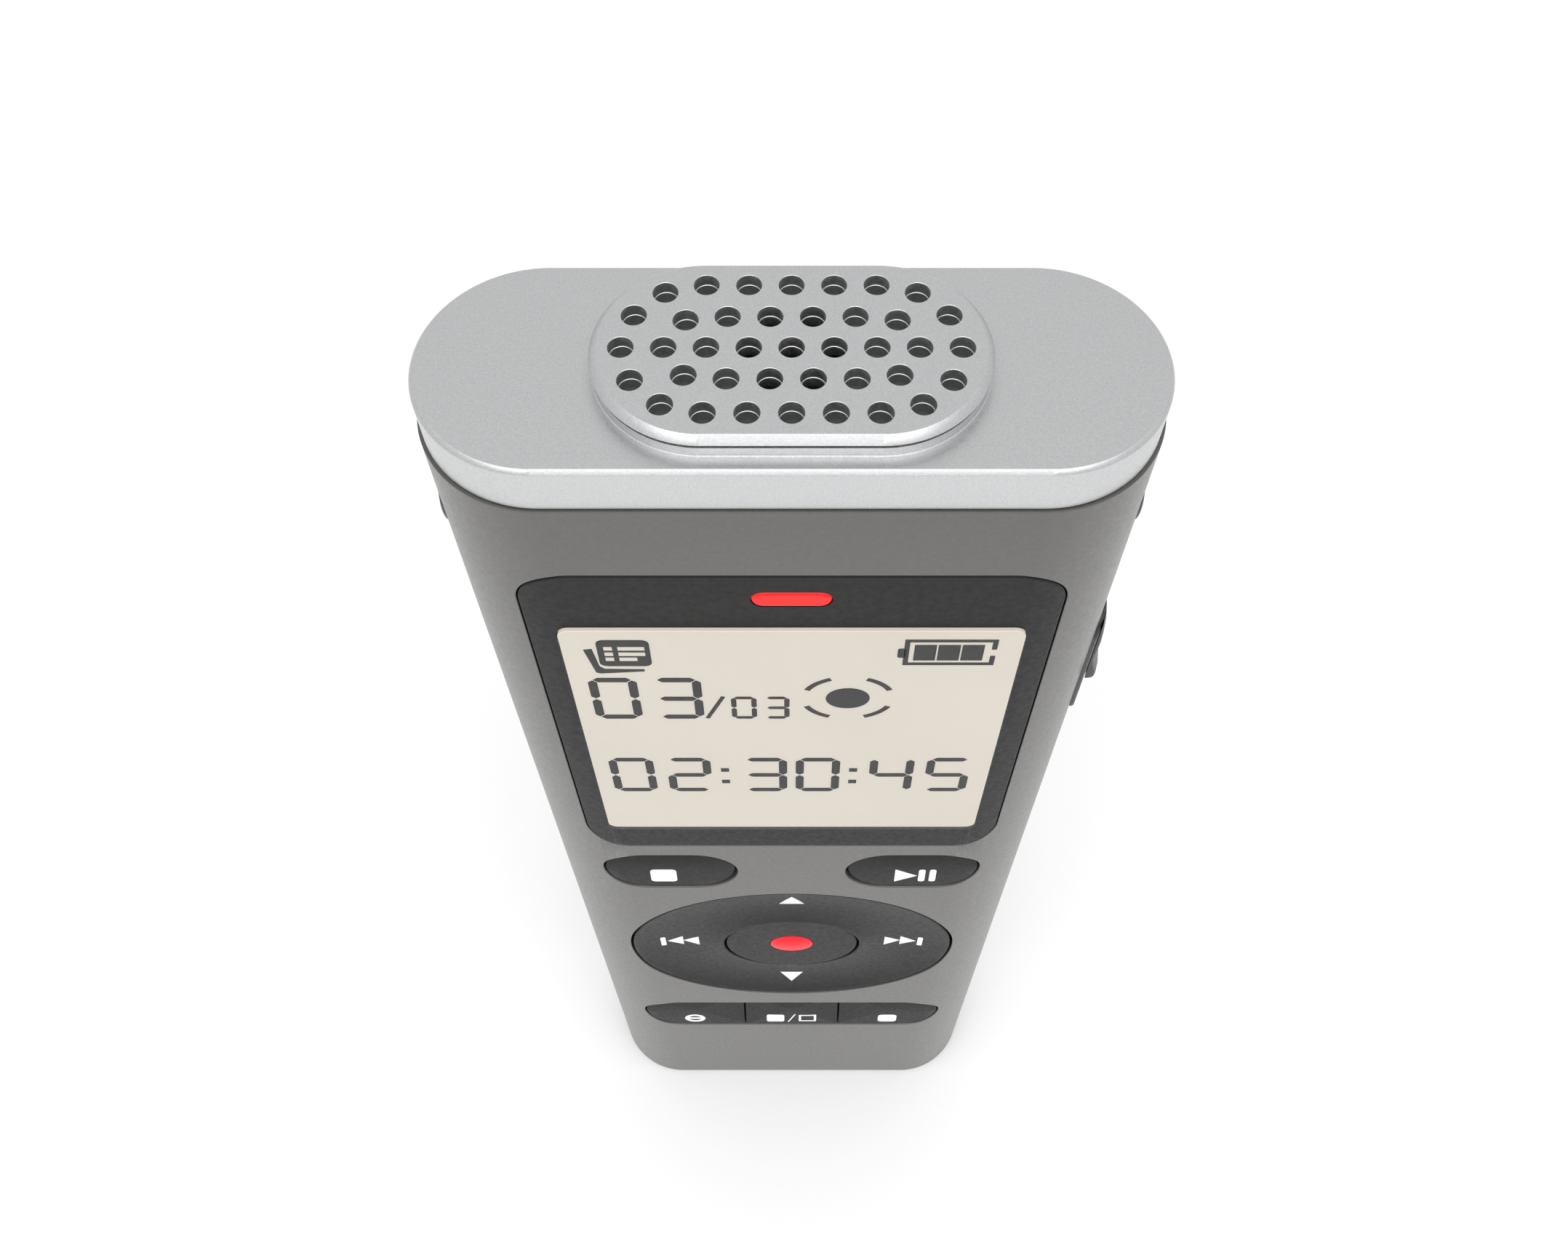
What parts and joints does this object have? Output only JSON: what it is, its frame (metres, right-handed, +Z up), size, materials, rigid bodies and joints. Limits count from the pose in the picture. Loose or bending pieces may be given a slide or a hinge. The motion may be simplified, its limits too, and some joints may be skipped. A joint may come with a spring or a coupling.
{
  "type": "digital voice recorder",
  "caption": "Slim hand-held voice recorder with an LCD, a four-way key ring, a record key, side sockets, a slide switch and a perforated aluminium microphone cap.",
  "frame": {"origin": "centre of the lower end, on the surface it stands on", "axes": "+Z up to the microphone grille, the screen and keys face -Y, the slide switch is on +X"},
  "size_m": [0.0394, 0.0138, 0.1203],
  "materials": {
    "body_paint": "satin metallic paint, fine sparkle",
    "cap_aluminium": "fine blasted",
    "black_seal": "matt",
    "steel": "plain",
    "bezel_black": "fine matt",
    "window_clear": "clear, hard coated",
    "lcd_cell": "reflective cell, warm",
    "lcd_white": "satin",
    "lamp_red": "translucent",
    "dot_red": "gloss",
    "key_charcoal": "fine matt",
    "mat_rubber": "silicone",
    "socket_black": "moulded",
    "washer_steel": "plain",
    "board_green": "solder mask",
    "chip_black": "moulded",
    "lamp_led": "moulded",
    "cell_foil": "foil pouch"
  },
  "bodies": {
    "body": {"front_shell": "body_paint", "rear_shell": "body_paint", "top_cap": "cap_aluminium", "grille_base": "cap_aluminium", "grille_plate": "cap_aluminium", "cap_seal": "black_seal", "mic_boot": "black_seal", "mic_foam": "black_seal", "speaker_cloth": "black_seal", "shell_screws": "steel", "cap_screws": "steel", "usb_socket": "steel", "mic_capsule": "steel", "crystal": "steel", "dome_switches": "steel", "display_bezel": "bezel_black", "display_window": "window_clear", "lcd_glass": "lcd_cell", "lcd_reflector": "lcd_white", "lcd_frame": "lcd_white", "record_lamp_lens": "lamp_red", "keypad_mat": "mat_rubber", "headphone_collar": "socket_black", "mic_collar": "socket_black", "headphone_jack": "socket_black", "mic_jack": "socket_black", "switch_surround": "socket_black", "battery_connector": "socket_black", "speaker": "socket_black", "switch_body": "washer_steel", "main_board": "board_green", "processor": "chip_black", "flash_memory": "chip_black", "board_parts": "chip_black", "record_lamp": "lamp_led", "battery_cell": "cell_foil"},
    "stop_key": {"stop_key": "key_charcoal"},
    "play_key": {"play_key": "key_charcoal"},
    "record_key": {"record_key": "key_charcoal", "record_dot": "dot_red"},
    "left_key": {"left_key": "key_charcoal"},
    "middle_key": {"middle_key": "key_charcoal"},
    "right_key": {"right_key": "key_charcoal"},
    "nav_pivot": {"nav_pivot": "washer_steel"},
    "nav_ring": {"nav_ring": "key_charcoal"},
    "switch_slider": {"switch_slider": "socket_black"}
  },
  "joints": [
    {"name": "stop_press", "type": "slide", "parent": "body", "child": "stop_key", "axis": [0, 1, 0], "range_m": [0, 0.00035], "stiffness_N_per_m": 3000},
    {"name": "play_press", "type": "slide", "parent": "body", "child": "play_key", "axis": [0, 1, 0], "range_m": [0, 0.00035], "stiffness_N_per_m": 3000},
    {"name": "record_press", "type": "slide", "parent": "body", "child": "record_key", "axis": [0, 1, 0], "range_m": [0, 0.00035], "stiffness_N_per_m": 3000},
    {"name": "left_press", "type": "slide", "parent": "body", "child": "left_key", "axis": [0, 1, 0], "range_m": [0, 0.00035], "stiffness_N_per_m": 3000},
    {"name": "middle_press", "type": "slide", "parent": "body", "child": "middle_key", "axis": [0, 1, 0], "range_m": [0, 0.00035], "stiffness_N_per_m": 3000},
    {"name": "right_press", "type": "slide", "parent": "body", "child": "right_key", "axis": [0, 1, 0], "range_m": [0, 0.00035], "stiffness_N_per_m": 3000},
    {"name": "nav_tilt_up_down", "type": "hinge", "parent": "body", "child": "nav_pivot", "pos_m": [0, -0.005, 0.04625], "axis": [1, 0, 0], "range_deg": [-1.2, 1.2], "stiffness_Nm_per_rad": 0.6},
    {"name": "nav_tilt_left_right", "type": "hinge", "parent": "nav_pivot", "child": "nav_ring", "pos_m": [0, -0.005, 0.04625], "axis": [0, 0, 1], "range_deg": [-1.2, 1.2], "stiffness_Nm_per_rad": 0.6},
    {"name": "power_slide", "type": "slide", "parent": "body", "child": "switch_slider", "axis": [0, 0, 1], "range_m": [-0.003, 0]}
  ]
}
